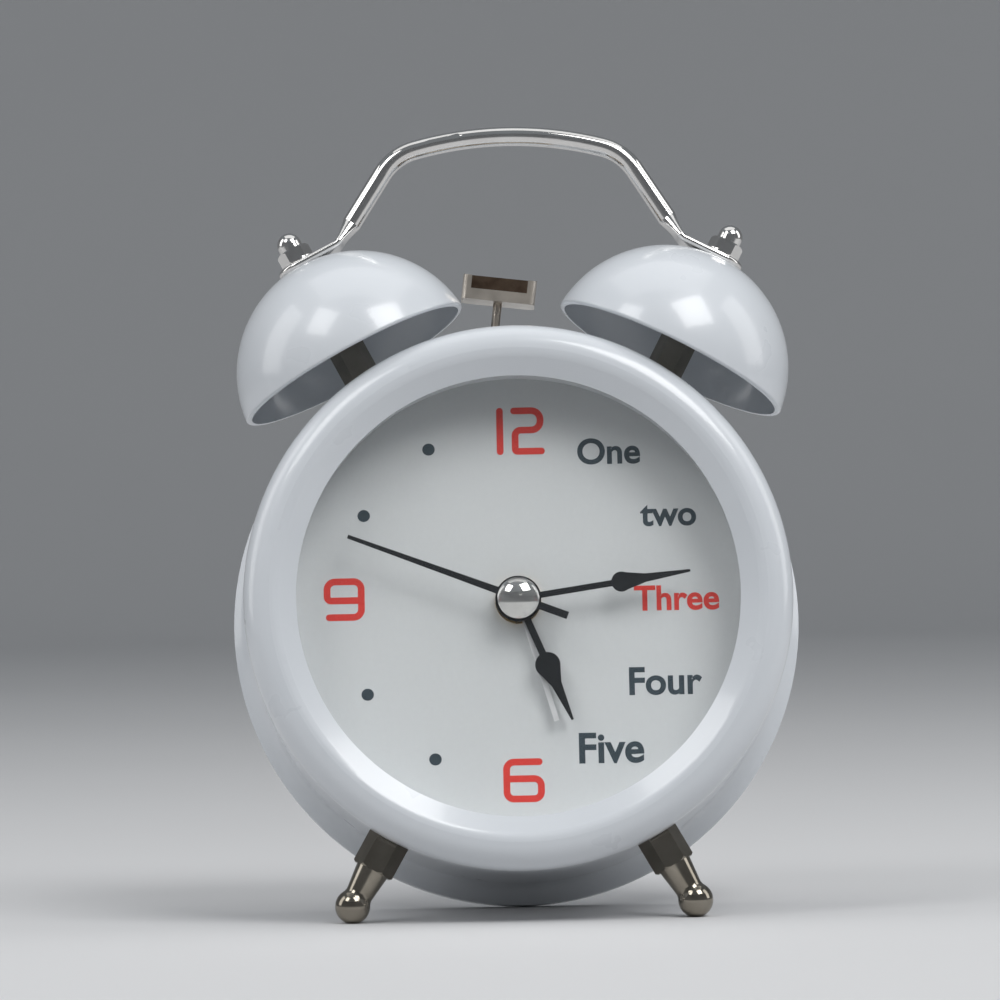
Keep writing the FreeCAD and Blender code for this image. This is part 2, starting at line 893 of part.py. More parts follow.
def rear_cover():
    plate = disc(rim_r - rim_wall - cover_gap, cover_seat_y, cover_back)
    half = bay_width / 2.0
    low = bay_centre_z - bay_height / 2.0
    high = bay_centre_z + bay_height / 2.0
    bay_front = cover_back - door_thickness - bay_depth
    tray = block(
        -half - bay_wall, half + bay_wall,
        bay_front - bay_wall, cover_seat_y + cover_thickness / 2.0,
        low - bay_wall, high + bay_wall,
    )
    room = block(-half, half, bay_front, cover_back + 1, low, high)
    door_half, door_low, door_high = door_box()
    seat = block(
        -door_half - door_gap, door_half + door_gap,
        cover_back - door_thickness - fit_gap, cover_back + 1,
        door_low - door_gap, door_high + door_gap,
    )
    cover = joined(plate, tray).cut(room).cut(seat)
    for x, z in stem_points()[1:]:
        cover = cover.cut(disc(stem_r + stem_hole_gap, cover_seat_y - 1, cover_back + 1, x, z))
    for x, z in cover_tab_points():
        cover = cover.cut(disc(screw_r + stud_hole_gap, cover_seat_y - 1, cover_back + 1, x, z))
    slot_half = switch_travel / 2.0 + switch_button_width / 2.0 + switch_gap
    slot = block(
        switch_x - slot_half, switch_x + slot_half,
        cover_seat_y - 1, cover_back + 1,
        switch_z - switch_neck_height / 2.0 - switch_gap, switch_z + switch_neck_height / 2.0 + switch_gap,
    )
    return cover.cut(slot)


def cover_screws():
    screws = []
    for x, z in cover_tab_points():
        shank = disc(screw_r, cover_back - screw_length, cover_back, x, z)
        head = disc(screw_head_r, cover_back, cover_back + screw_head_height, x, z)
        crown = [e for e in head.Edges if e.BoundBox.YMin > cover_back + screw_head_height / 2.0]
        head = head.makeFillet(screw_head_height * 0.6, crown)
        screw = joined(shank, head)
        for wide, high in ((screw_head_r, screw_slot_width / 2.0), (screw_slot_width / 2.0, screw_head_r)):
            screw = screw.cut(block(
                x - wide * 0.7, x + wide * 0.7,
                cover_back + screw_head_height - screw_slot_depth, cover_back + screw_head_height + 1,
                z - high * 0.7, z + high * 0.7,
            ))
        screws.append(screw)
    return group(*screws)


def battery_door():
    half, low, high = door_box()
    front = cover_back - door_thickness
    edge_r = door_thickness / 2.0
    panel = block(-half, half, front, cover_back, low + edge_r, high)
    edge = Part.makeCylinder(edge_r, 2 * half, vec(-half, front + edge_r, low + edge_r), vec(1, 0, 0))
    grip = block(
        -half / 4.0, half / 4.0,
        cover_back - door_grip_depth, cover_back + 1,
        high - 2 * door_grip_height, high - door_grip_height,
    )
    return joined(panel, edge).cut(grip)


def battery_contacts():
    """Coil spring at one end of the bay and a domed plate at the other."""
    half = bay_width / 2.0
    front = cover_back - door_thickness - bay_depth
    y = front + bay_depth / 2.0
    low = bay_centre_z - contact_size / 2.0
    high = bay_centre_z + contact_size / 2.0
    near = y - contact_size / 2.0
    far = y + contact_size / 2.0
    nub_plate = joined(
        block(-half, -half + contact_thickness, near, far, low, high),
        Part.makeCylinder(contact_nub_r, contact_nub_length, vec(-half, y, bay_centre_z), vec(1, 0, 0)),
    )
    spring = block(half - contact_thickness, half, near, far, low, high)
    for i in range(spring_turns):
        radius = spring_r - spring_step * i
        x = half - contact_thickness - spring_wire_r * 0.9 - spring_step * i
        spring = joined(spring, Part.makeTorus(radius, spring_wire_r, vec(x, y, bay_centre_z), vec(1, 0, 0)))
    return group(nub_plate, spring)


# Alarm switch

def alarm_switch_slider():
    """At rest it stands at the off end of its slot, to the left seen from the front."""
    x = switch_x - switch_travel / 2.0
    button = block(
        x - switch_button_width / 2.0, x + switch_button_width / 2.0,
        cover_back + switch_gap, cover_back + switch_gap + switch_button_out,
        switch_z - switch_button_height / 2.0, switch_z + switch_button_height / 2.0,
    )
    neck = block(
        x - switch_button_width / 2.0, x + switch_button_width / 2.0,
        cover_seat_y - switch_gap - switch_plate_thickness / 2.0, cover_back + switch_button_out / 2.0,
        switch_z - switch_neck_height / 2.0, switch_z + switch_neck_height / 2.0,
    )
    plate = block(
        x - switch_plate_width / 2.0, x + switch_plate_width / 2.0,
        cover_seat_y - switch_gap - switch_plate_thickness, cover_seat_y - switch_gap,
        switch_z - switch_plate_height / 2.0, switch_z + switch_plate_height / 2.0,
    )
    return joined(button, neck, plate)


def alarm_switch_base():
    """Open box on the inner face of the cover, in which the slider's plate runs."""
    half = switch_plate_width / 2.0 + switch_travel / 2.0 + switch_gap
    high = switch_plate_height / 2.0 + switch_gap
    front = cover_seat_y - switch_box_depth
    outer = block(
        switch_x - half - switch_box_wall, switch_x + half + switch_box_wall,
        front, cover_seat_y,
        switch_z - high - switch_box_wall, switch_z + high + switch_box_wall,
    )
    room = block(
        switch_x - half, switch_x + half,
        cover_seat_y - 2 * switch_gap - switch_plate_thickness, cover_seat_y + 1,
        switch_z - high, switch_z + high,
    )
    return outer.cut(room)


# Movement

def axis_points():
    third = polar(third_direction, third_distance)
    fifth = polar(fifth_direction, fifth_distance)
    rotor_at = polar(rotor_direction, rotor_distance, fifth[0], fifth[1])
    return third, fifth, rotor_at


def movement_front_plate():
    half = movement_size / 2.0
    plate = block(-half, half, dial_back, plate_back, -half, half)
    bushing = disc(bushing_r, bushing_front_y, plate_back)
    minute_at, time_at, alarm_at = stem_points()
    stud_back = plate_back + cannon_layer + wheel_thickness
    pin = disc(second_arbor_r, plate_back - blind_hole_floor, stud_back, minute_at[0], minute_at[1])
    plate = joined(plate, bushing, pin)
    plate = plate.cut(disc(bushing_in, bushing_front_y - 1, plate_back + 1))
    third = axis_points()[0]
    plate = plate.cut(disc(pivot_r + running_gap, dial_back + blind_hole_floor, plate_back + 1, *third))
    for x, z in (time_at, alarm_at):
        plate = plate.cut(disc(stem_r + stem_hole_gap, dial_back + blind_hole_floor, plate_back + 1, x, z))
    return plate


def movement_ring_nut():
    front = dial_face_y - ring_nut_thickness
    nut = ring(ring_nut_r, bushing_r, front, dial_face_y)
    for i in range(2):
        slot = block(
            -ring_nut_r - 1, ring_nut_r + 1,
            front - 1, front + ring_nut_thickness / 2.0,
            -ring_slot_width / 2.0, ring_slot_width / 2.0,
        )
        slot.rotate(vec(0, 0, 0), vec(0, 1, 0), 90.0 * i)
        nut = nut.cut(slot)
    return nut


def movement_middle_plate():
    half = movement_size / 2.0 - movement_wall
    third, fifth, rotor_at = axis_points()
    minute_at, time_at, alarm_at = stem_points()
    plate = block(-half, half, middle_front, middle_back, -half, half)
    plate = plate.cut(disc(second_arbor_r + running_gap, middle_front - 1, middle_back + 1))
    for x, z in (third, fifth, rotor_at):
        plate = plate.cut(disc(pivot_r + running_gap, middle_front - 1, middle_back + 1, x, z))
    for x, z in (time_at, alarm_at):
        plate = plate.cut(disc(stem_r + stem_hole_gap, middle_front - 1, middle_back + 1, x, z))
    return plate


def movement_housing():
    half = movement_size / 2.0
    third, fifth, rotor_at = axis_points()
    minute_at, time_at, alarm_at = stem_points()
    shell = block(-half, half, plate_back, movement_back, -half, half)
    room = block(
        -half + movement_wall, half - movement_wall,
        plate_back - 1, inside_back,
        -half + movement_wall, half - movement_wall,
    )
    housing = shell.cut(room)
    blind = inside_back + movement_wall / 2.0
    housing = housing.cut(disc(second_arbor_r + running_gap, inside_back - 1, blind))
    for x, z in (fifth, rotor_at):
        housing = housing.cut(disc(pivot_r + running_gap, inside_back - 1, blind, x, z))
    for x, z in (time_at, alarm_at):
        housing = housing.cut(disc(stem_r + stem_hole_gap, inside_back - 1, movement_back + 1, x, z))
    return housing


def layer(depth):
    return plate_back + depth, plate_back + depth + wheel_thickness


def rotor():
    x, z = axis_points()[2]
    module = gear_module(rotor_distance, rotor_teeth, fifth_teeth)
    front, back = layer(fifth_layer)
    pinion = toothed(rotor_teeth, module, front, back, x, z)
    magnet_front = plate_back + magnet_layer
    magnet = disc(magnet_r, magnet_front, magnet_front + magnet_thickness, x, z)
    arbor = disc(pivot_r, middle_front, inside_back + movement_wall / 4.0, x, z)
    return joined(pinion, magnet, arbor)


def fifth_wheel():
    x, z = axis_points()[1]
    big = toothed(fifth_teeth, gear_module(rotor_distance, rotor_teeth, fifth_teeth),
                  *layer(fifth_layer), x, z,
                  turn=mesh_turn(rotor_direction, rotor_teeth, fifth_teeth))
    small = toothed(fifth_pinion_teeth, gear_module(fifth_distance, fifth_pinion_teeth, second_teeth),
                    *layer(second_layer), x, z)
    arbor = disc(pivot_r, middle_front, inside_back + movement_wall / 4.0, x, z)
    return joined(big, small, arbor)


def opposite(direction):
    return direction + 180.0


def mesh_turn(direction, driver_teeth, teeth, driver_turn=0.0):
    """Turn of a gear so that a gap of it meets a tooth of its driver, which lies in that direction."""
    driver_phase = (opposite(direction) - driver_turn) / (360.0 / driver_teeth)
    driver_phase -= math.floor(driver_phase)
    return direction + (driver_phase + 0.5) * 360.0 / teeth


def second_wheel():
    big = toothed(second_teeth, gear_module(fifth_distance, fifth_pinion_teeth, second_teeth),
                  *layer(second_layer), turn=mesh_turn(fifth_direction, fifth_pinion_teeth, second_teeth))
    small = toothed(second_pinion_teeth, gear_module(third_distance, second_pinion_teeth, third_teeth),
                    *layer(third_layer))
    arbor = disc(second_arbor_r, second_hand_y - pipe_past_hand, inside_back + movement_wall / 4.0)
    return joined(big, small, arbor)


def third_wheel():
    x, z = axis_points()[0]
    big = toothed(third_teeth, gear_module(third_distance, second_pinion_teeth, third_teeth),
                  *layer(third_layer), x, z,
                  turn=mesh_turn(opposite(third_direction), second_pinion_teeth, third_teeth))
    small = toothed(third_pinion_teeth, gear_module(third_distance, third_pinion_teeth, centre_teeth),
                    *layer(centre_layer), x, z)
    arbor = disc(pivot_r, plate_back - plate_thickness / 2.0, middle_back, x, z)
    return joined(big, small, arbor)


def center_wheel():
    big = toothed(centre_teeth, gear_module(third_distance, third_pinion_teeth, centre_teeth),
                  *layer(centre_layer), turn=mesh_turn(third_direction, third_pinion_teeth, centre_teeth))
    front, back = layer(centre_layer)
    return big.cut(disc(minute_pipe_out + running_gap, front - 1, back + 1))


def minute_arbor():
    """Cannon pinion on its pipe, with a shoulder on each side of the centre wheel."""
    pinion = toothed(cannon_teeth, gear_module(minute_distance, cannon_teeth, minute_teeth),
                     *layer(cannon_layer))
    front = minute_hand_y - pipe_past_hand
    back = plate_back + centre_layer + wheel_thickness + pipe_past_wheel
    pipe = disc(minute_pipe_out, front, back)
    return joined(pinion, pipe).cut(disc(minute_pipe_in, front - 1, back + 1))


def minute_wheel():
    x, z = stem_points()[0]
    big = toothed(minute_teeth, gear_module(minute_distance, cannon_teeth, minute_teeth),
                  *layer(cannon_layer), x, z,
                  turn=mesh_turn(opposite(minute_direction), cannon_teeth, minute_teeth))
    small = toothed(minute_pinion_teeth, gear_module(minute_distance, minute_pinion_teeth, hour_teeth),
                    layer(hour_layer)[0], layer(cannon_layer)[0], x, z)
    bore = disc(second_arbor_r + running_gap, plate_back - 1, plate_back + centre_layer, x, z)
    return joined(big, small).cut(bore)


def hour_wheel():
    big = toothed(hour_teeth, gear_module(minute_distance, minute_pinion_teeth, hour_teeth),
                  *layer(hour_layer),
                  turn=mesh_turn(minute_direction, minute_pinion_teeth, hour_teeth))
    front = hour_hand_y - pipe_past_hand
    pipe = disc(hour_pipe_out, front, layer(hour_layer)[1])
    return joined(big, pipe).cut(disc(hour_pipe_in, front - 1, plate_back + cannon_layer))


def alarm_wheel():
    big = toothed(alarm_teeth, gear_module(alarm_stem_distance, alarm_pinion_teeth, alarm_teeth),
                  *layer(alarm_layer),
                  turn=mesh_turn(alarm_stem_direction, alarm_pinion_teeth, alarm_teeth))
    front = alarm_hand_y - pipe_past_hand
    pipe = disc(alarm_pipe_out, front, layer(alarm_layer)[1])
    return joined(big, pipe).cut(disc(alarm_pipe_in, front - 1, plate_back + hour_layer))


def set_stem(x, z, teeth, module, gear_at, turn=0.0):
    knob_front = cover_back + knob_cover_gap
    shaft = disc(stem_r, plate_back - plate_thickness / 2.0, knob_front + knob_insert, x, z)
    return joined(shaft, toothed(teeth, module, *layer(gear_at), x, z, turn=turn))


def time_set_stem():
    x, z = stem_points()[1]
    module = gear_module(minute_distance, cannon_teeth, minute_teeth)
    way = opposite(minute_direction)
    turn = mesh_turn(way, minute_teeth, time_pinion_teeth, mesh_turn(way, cannon_teeth, minute_teeth))
    return set_stem(x, z, time_pinion_teeth, module, cannon_layer, turn)


def alarm_set_stem():
    x, z = stem_points()[2]
    module = gear_module(alarm_stem_distance, alarm_pinion_teeth, alarm_teeth)
    return set_stem(x, z, alarm_pinion_teeth, module, alarm_layer)


def set_knob(x, z):
    front = cover_back + knob_cover_gap
    knob = disc(knob_r, front, front + knob_length, x, z)
    for i in range(knob_ridges):
        gx, gz = polar(360.0 / knob_ridges * i, knob_r + knob_ridge_depth / 2.0, x, z)
        knob = knob.cut(disc(knob_ridge_depth, front - 1, front + knob_length + 1, gx, gz))
    return knob.cut(disc(stem_r, front - 1, front + knob_insert, x, z))


def stator_plate():
    x, z = axis_points()[2]
    front = plate_back + magnet_layer + (magnet_thickness - stator_thickness) / 2.0
    back = front + stator_thickness
    leg_right = stator_right - stator_leg_width
    leg_left = stator_arm_left + stator_leg_width
    bar_top = stator_shoulder + stator_bar_height
    plate = joined(
        block(stator_left, stator_right, front, back, stator_bottom, stator_shoulder),
        block(stator_arm_left, stator_right, front, back, stator_shoulder, bar_top),
        block(stator_arm_left, leg_left, front, back, stator_shoulder, stator_top),
        block(leg_right, stator_right, front, back, stator_shoulder, stator_top),
        block(stator_arm_left, stator_right, front, back, core_bottom, core_bottom + core_height),
    )
    for px in ((stator_arm_left + leg_left) / 2.0, (leg_right + stator_right) / 2.0):
        pillar_r = stator_leg_width / 2.0
        plate = joined(plate, disc(pillar_r, back, inside_back, px, stator_top - pillar_r))
    return plate.cut(disc(magnet_r + stator_gap, front - 1, back + 1, x, z))


def drive_coil():
    middle_y = plate_back + magnet_layer + magnet_thickness / 2.0
    middle_z = core_bottom + core_height / 2.0
    left = stator_arm_left + stator_leg_width + coil_end_gap
    right = stator_right - stator_leg_width - coil_end_gap
    base = vec(left, middle_y, middle_z)
    winding = Part.makeCylinder(coil_r, right - left, base, vec(1, 0, 0))
    return winding.cut(Part.makeCylinder(coil_bore_r, right - left, base, vec(1, 0, 0)))


def circuit_board():
    return block(board_left, board_right, inside_back - board_thickness, inside_back, board_bottom, board_top)


def quartz_crystal():
    y = inside_back - board_thickness - crystal_r
    can = Part.makeCylinder(crystal_r, crystal_length, vec(crystal_x, y, crystal_z), vec(0, 0, 1))
    return can


# Hands, each drawn pointing up and then turned to its place on the dial

def turned_hand(outline_or_solid, angle):
    outline_or_solid.rotate(vec(0, 0, 0), vec(0, 1, 0), angle)
    return outline_or_solid


def strip_outline(pairs, front):
    """Symmetrical flat piece from (distance, half width) pairs."""
    right = [vec(w, front, d) for d, w in pairs]
    left = [vec(-w, front, d) for d, w in reversed(pairs)]
    points = right + left
    points.append(points[0])
    return Part.Face(Part.makePolygon(points)).extrude(vec(0, hand_thickness, 0))


def bulb_hand(length, bulb_at, bulb_r, shank, hub_r, bore_r, front, angle):
    """Hand with a pear-shaped bulb that tapers to the tip."""
    shaft = strip_outline([(0.0, shank / 2.0), (bulb_at, shank / 2.0)], front)
    bulb = disc(bulb_r, front, front + hand_thickness, 0.0, bulb_at)
    shoulder = bulb_at + bulb_r * 0.5
    taper = strip_outline(
        [
            (shoulder, bulb_r * 0.866),
            (bulb_at + (length - bulb_at) * bulb_tip_share, bulb_r * 0.42),
            (length, hand_tip / 2.0),
        ],
        front,
    )
    hub = disc(hub_r, front, front + hand_thickness)
    hand = joined(shaft, bulb, taper, hub).cut(disc(bore_r, front - 1, front + 1))
    return turned_hand(hand, angle)


def minute_hand():
    return bulb_hand(minute_hand_length, minute_bulb_at, minute_bulb_r, minute_shank, hand_hub_r,
                     minute_pipe_out, minute_hand_y, minute_angle)


def hour_hand():
    return bulb_hand(hour_hand_length, hour_bulb_at, hour_bulb_r, hour_shank, hour_hub_r,
                     hour_pipe_out, hour_hand_y, hour_angle)


def second_hand():
    arm = strip_outline(
        [
            (-second_tail_length, second_root_width / 2.0),
            (0.0, second_root_width / 2.0),
            (second_hand_length, second_tip_width / 2.0),
        ],
        second_hand_y,
    )
    hub = disc(second_hub_r, second_hand_y, second_hand_y + hand_thickness)
    hand = joined(arm, hub).cut(disc(second_arbor_r, second_hand_y - 1, second_hand_y + 1))
    return turned_hand(hand, second_angle)


def alarm_hand():
    half = alarm_hand_width / 2.0
    arm = strip_outline([(0.0, half), (alarm_hand_length, half)], alarm_hand_y)
    hub = disc(alarm_hub_r, alarm_hand_y, alarm_hand_y + hand_thickness)
    hand = joined(arm, hub).cut(disc(alarm_pipe_out, alarm_hand_y - 1, alarm_hand_y + 1))
    return turned_hand(hand, alarm_angle)


def second_cap():
    """Domed cap on the front of the second hand."""
    dome_r = (cap_r ** 2 + cap_height ** 2) / (2.0 * cap_height)
    back = second_hand_y
    ball = Part.makeSphere(dome_r, vec(0, back - cap_height + dome_r, 0))
    cap = ball.common(disc(cap_r + 1, back - cap_height - 1, back))
    return cap.cut(disc(second_arbor_r, back - pipe_past_hand, back + 1))


# Hammer and motor

def lever_point(distance, sideways=0.0, tilt_degrees=hammer_rest_tilt):
    a = math.radians(tilt_degrees)
    return (
        hammer_pivot_x + distance * math.sin(a) + sideways * math.cos(a),
        hammer_pivot_z + distance * math.cos(a) - sideways * math.sin(a),
    )


def on_lever(shape):
    """Takes a piece drawn upright over the origin to the lever's place and tilt."""
    shape.rotate(vec(0, 0, 0), vec(0, 1, 0), hammer_rest_tilt)
    shape.translate(vec(hammer_pivot_x, hammer_y, hammer_pivot_z))
    return shape


def motor_point():
    return lever_point(crank_at, 0.0, swing_centre)


def hammer_lever():
    half_t = lever_thickness / 2.0
    boss = disc(lever_boss_r, -half_t, half_t)
    neck = block(-lever_boss_r * 0.7, lever_boss_r * 0.7, -half_t, half_t, 0.0, lever_bottom)
    frame = block(-lever_width / 2.0, lever_width / 2.0, -half_t, half_t, lever_bottom, lever_top)
    slot_low = crank_at - lever_slot_height / 2.0
    slot = block(
        -lever_slot_half, lever_slot_half,
        -half_t - 1, half_t + 1,
        slot_low, slot_low + lever_slot_height,
    )
    socket = block(
        -socket_width / 2.0, socket_width / 2.0,
        -socket_depth / 2.0, socket_depth / 2.0,
        lever_top - socket_root, lever_top + socket_length,
    )
    lever = joined(boss, neck, frame, socket).cut(slot)
    lever = lever.cut(disc(pivot_pin_r + running_gap, -half_t - 1, half_t + 1))
    lever = lever.cut(rod(hammer_stem_r, vec(0, 0, lever_top + stem_seat), vec(0, 0, 1), socket_length * 2))
    return on_lever(lever)


def hammer_stem():
    start = lever_top + stem_seat
    floor_top = head_at + head_wall
    stem = rod(hammer_stem_r, vec(0, 0, start), vec(0, 0, 1), floor_top - start)
    rivet = Part.makeCone(stem_rivet_r, stem_rivet_r * 0.6, stem_rivet_height)
    rivet.translate(vec(0, 0, floor_top))
    return on_lever(joined(stem, rivet))


def hammer_head():
    half = head_length / 2.0
    deep = head_depth / 2.0
    outer = block(-half, half, -deep, deep, head_at, head_at + head_back)
    upright = [e for e in outer.Edges if abs(e.tangentAt(e.FirstParameter).z) > 0.9]
    outer = outer.makeFillet(head_corner, upright)
    room = block(
        -half + head_wall, half - head_wall,
        -deep + head_wall, deep - head_wall,
        head_at + head_wall, head_at + head_back + 1,
    )
    upright = [e for e in room.Edges if abs(e.tangentAt(e.FirstParameter).z) > 0.9]
    room = room.makeFillet(head_corner - head_wall * 0.6, upright)
    front_cut = block(
        -half + head_corner + head_wall, half - head_corner - head_wall,
        -deep - 1, 0.0,
        head_at + head_lip, head_at + head_back + 1,
    )
    ear_cut = block(
        -half - 1, half + 1,
        -deep - 1, deep - head_wall * 1.5,
        head_at + head_ear, head_at + head_back + 1,
    )
    tray = outer.cut(room).cut(front_cut).cut(ear_cut)
    return on_lever(tray.cut(rod(hammer_stem_r, vec(0, 0, head_at - 1), vec(0, 0, 1), head_wall + 2)))


def hammer_pivot_pin():
    x, z = hammer_pivot_x, hammer_pivot_z
    head_back_y = lever_front - running_gap * 2.0
    shank = disc(pivot_pin_r, head_back_y, movement_back + bracket_thickness, x, z)
    head = disc(pivot_pin_head_r, head_back_y - pivot_pin_front, head_back_y, x, z)
    collar = disc(pivot_pin_head_r, lever_back + running_gap * 2.0, movement_back, x, z)
    return joined(shank, head, collar)


def motor_bracket():
    x, z = motor_point()
    top = z + motor_boss_r + bracket_top_margin
    plate = block(
        x - bracket_half_width, x + bracket_half_width,
        movement_back, movement_back + bracket_thickness,
        bracket_bottom, top,
    )
    plate = plate.cut(disc(motor_boss_r, movement_back - 1, movement_back + bracket_thickness + 1, x, z))
    return plate.cut(disc(pivot_pin_r, movement_back - 1, movement_back + bracket_thickness + 1,
                          hammer_pivot_x, hammer_pivot_z))


def striker_motor():
    x, z = motor_point()
    front = movement_back + bracket_thickness
    can = disc(motor_r, front, front + motor_length, x, z)
    boss = disc(motor_boss_r, front - motor_boss_length, front, x, z)
    bore = disc(motor_shaft_r + running_gap, front - 2, front + motor_length - motor_end_wall, x, z)
    return joined(can, boss).cut(bore)


def motor_shaft():
    x, z = motor_point()
    disc_front = lever_back + crank_lever_gap
    motor_back = movement_back + bracket_thickness + motor_length
    shaft_back = motor_back - motor_end_wall - motor_shaft_end_gap
    return disc(motor_shaft_r, disc_front + crank_disc_thickness / 2.0, shaft_back, x, z)


def crank_disc():
    """Disc on the motor's shaft, with a pin that runs in the lever's window."""
    x, z = motor_point()
    front = lever_back + crank_lever_gap
    back = front + crank_disc_thickness
    wheel = disc(crank_disc_r, front, back, x, z)
    pin = disc(crank_pin_r, lever_front, front + crank_disc_thickness / 2.0, x - crank_r, z)
    return joined(wheel, pin).cut(disc(motor_shaft_r, front + crank_disc_thickness / 2.0, back + 1, x, z))


def all_pieces():
    time_at = stem_points()[1]
    alarm_at = stem_points()[2]
    pieces = {
        "case_drum": case_drum(),
        "bezel_ring": bezel_ring(),
        "front_lens": front_lens(),
        "dial_spacer_ring": dial_spacer_ring(),
        "dial_plate": dial_plate(),
        "rear_cover": rear_cover(),
        "cover_screws": cover_screws(),
        "battery_door": battery_door(),
        "battery_contacts": battery_contacts(),
        "alarm_switch_slider": alarm_switch_slider(),
        "alarm_switch_base": alarm_switch_base(),
        "foot_nuts": group(inner_nut(foot_line(-1)), inner_nut(foot_line(1))),
        "post_nuts": group(inner_nut(bell_line(-1)), inner_nut(bell_line(1))),
        "tab_washers": group(tab_washer(-1), tab_washer(1)),
        "carry_handle": carry_handle(),
        "movement_front_plate": movement_front_plate(),
        "movement_ring_nut": movement_ring_nut(),
        "movement_middle_plate": movement_middle_plate(),
        "movement_housing": movement_housing(),
        "rotor": rotor(),
        "fifth_wheel": fifth_wheel(),
        "second_wheel": second_wheel(),
        "third_wheel": third_wheel(),
        "center_wheel": center_wheel(),
        "minute_arbor": minute_arbor(),
        "minute_wheel": minute_wheel(),
        "hour_wheel": hour_wheel(),
        "alarm_wheel": alarm_wheel(),
        "time_set_stem": time_set_stem(),
        "alarm_set_stem": alarm_set_stem(),
        "time_set_knob": set_knob(*time_at),
        "alarm_set_knob": set_knob(*alarm_at),
        "stator_plate": stator_plate(),
        "drive_coil": drive_coil(),
        "circuit_board": circuit_board(),
        "quartz_crystal": quartz_crystal(),
        "minute_hand": minute_hand(),
        "hour_hand": hour_hand(),
        "second_hand": second_hand(),
        "alarm_hand": alarm_hand(),
        "second_cap": second_cap(),
        "hammer_lever": hammer_lever(),
        "hammer_stem": hammer_stem(),
        "hammer_head": hammer_head(),
        "hammer_pivot_pin": hammer_pivot_pin(),
        "motor_bracket": motor_bracket(),
        "striker_motor": striker_motor(),
        "motor_shaft": motor_shaft(),
        "crank_disc": crank_disc(),
    }
    for side in (-1, 1):
        pieces[side_name(side) + "_foot"] = foot(side)
        pieces[side_name(side) + "_bell"] = bell(side)
        pieces[side_name(side) + "_bell_post"] = bell_post(side)
        pieces[side_name(side) + "_cap_nut"] = cap_nut(side)
    return pieces


def standing_place(pieces):
    """Leans the clock back, sets its lowest point on Z = 0 and centres its plan on the origin."""
    turn = FreeCAD.Rotation(vec(1, 0, 0), -math.degrees(lean))
    place = FreeCAD.Placement(vec(0, 0, 0), turn)
    leaned = []
    for shape in pieces.values():
        copy = shape.copy()
        copy.Placement = place.multiply(copy.Placement)
        leaned.append(copy)
    box = Part.makeCompound(leaned).optimalBoundingBox(False, False)
    rim_y = (drum_depth - rim_round) * math.sin(lean) + (rim_r - rim_round) * math.cos(lean)
    floor = -rim_y - rim_round
    shift = vec(-(box.XMin + box.XMax) / 2.0, -(box.YMin + box.YMax) / 2.0, -floor)
    return FreeCAD.Placement(shift, turn)


def main():
    os.makedirs("parts", exist_ok=True)
    pieces = all_pieces()
    place = standing_place(pieces)
    for name, shape in pieces.items():
        shape.Placement = place.multiply(shape.Placement)
        shape.exportStep("parts/" + name + ".step")
    print(len(pieces), "nodes, lean", round(math.degrees(lean), 3), "degrees")
    return pieces, place


if __name__ == "__main__":
    main()
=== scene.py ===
import json
from math import cos, pi, radians, sin, tan

import bmesh
import bpy
from mathutils import Matrix, Vector


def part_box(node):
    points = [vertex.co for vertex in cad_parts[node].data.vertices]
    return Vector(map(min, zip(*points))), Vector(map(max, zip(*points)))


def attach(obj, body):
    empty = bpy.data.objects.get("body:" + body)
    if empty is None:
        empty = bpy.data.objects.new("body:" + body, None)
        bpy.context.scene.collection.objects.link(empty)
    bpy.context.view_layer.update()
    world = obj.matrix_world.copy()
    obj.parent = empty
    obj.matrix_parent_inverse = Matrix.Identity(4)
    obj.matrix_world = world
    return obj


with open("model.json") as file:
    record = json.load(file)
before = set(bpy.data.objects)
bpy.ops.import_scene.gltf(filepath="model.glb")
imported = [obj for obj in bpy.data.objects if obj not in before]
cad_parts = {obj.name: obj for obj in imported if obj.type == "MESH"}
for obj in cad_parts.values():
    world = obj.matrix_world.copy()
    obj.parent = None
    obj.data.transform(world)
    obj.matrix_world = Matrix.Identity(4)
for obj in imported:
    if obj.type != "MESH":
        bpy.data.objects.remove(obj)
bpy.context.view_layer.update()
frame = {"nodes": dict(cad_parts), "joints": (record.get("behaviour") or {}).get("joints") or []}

MM = 0.001

# The clock leans back on its feet. Its own frame has x to the right,
# y back along the dial axis and z up the dial.
DIAL_AXLE = next(j for j in frame["joints"] if j["name"] == "second_hand_turn")
CENTRE = Vector(DIAL_AXLE["pos_m"])
RIGHT = Vector((1, 0, 0))
BACK = Vector(DIAL_AXLE["axis"])
UP = RIGHT.cross(BACK)


def clock_frame(x=0.0, y=0.0, z=0.0):
    """The matrix from millimetres in the clock's own frame, moved to (x, y, z), to metres in the world."""
    turn = Matrix((RIGHT, BACK, UP)).transposed().to_4x4()
    return Matrix.Translation(CENTRE) @ turn @ Matrix.Scale(MM, 4) @ Matrix.Translation((x, y, z))


# The viewpoint: low in front of the clock, level with its dial.
VIEW_AZIMUTH = radians(-0.705)
VIEW_ELEVATION = radians(1.411)
VIEW_ROLL = radians(-1.081)
VIEW_DISTANCE = 1.2957
FOCAL_PIXELS = 6079
FRAME_PIXELS = 1000
SENSOR = 36
DIAL_PIXEL = Vector((518.29, 598.37))


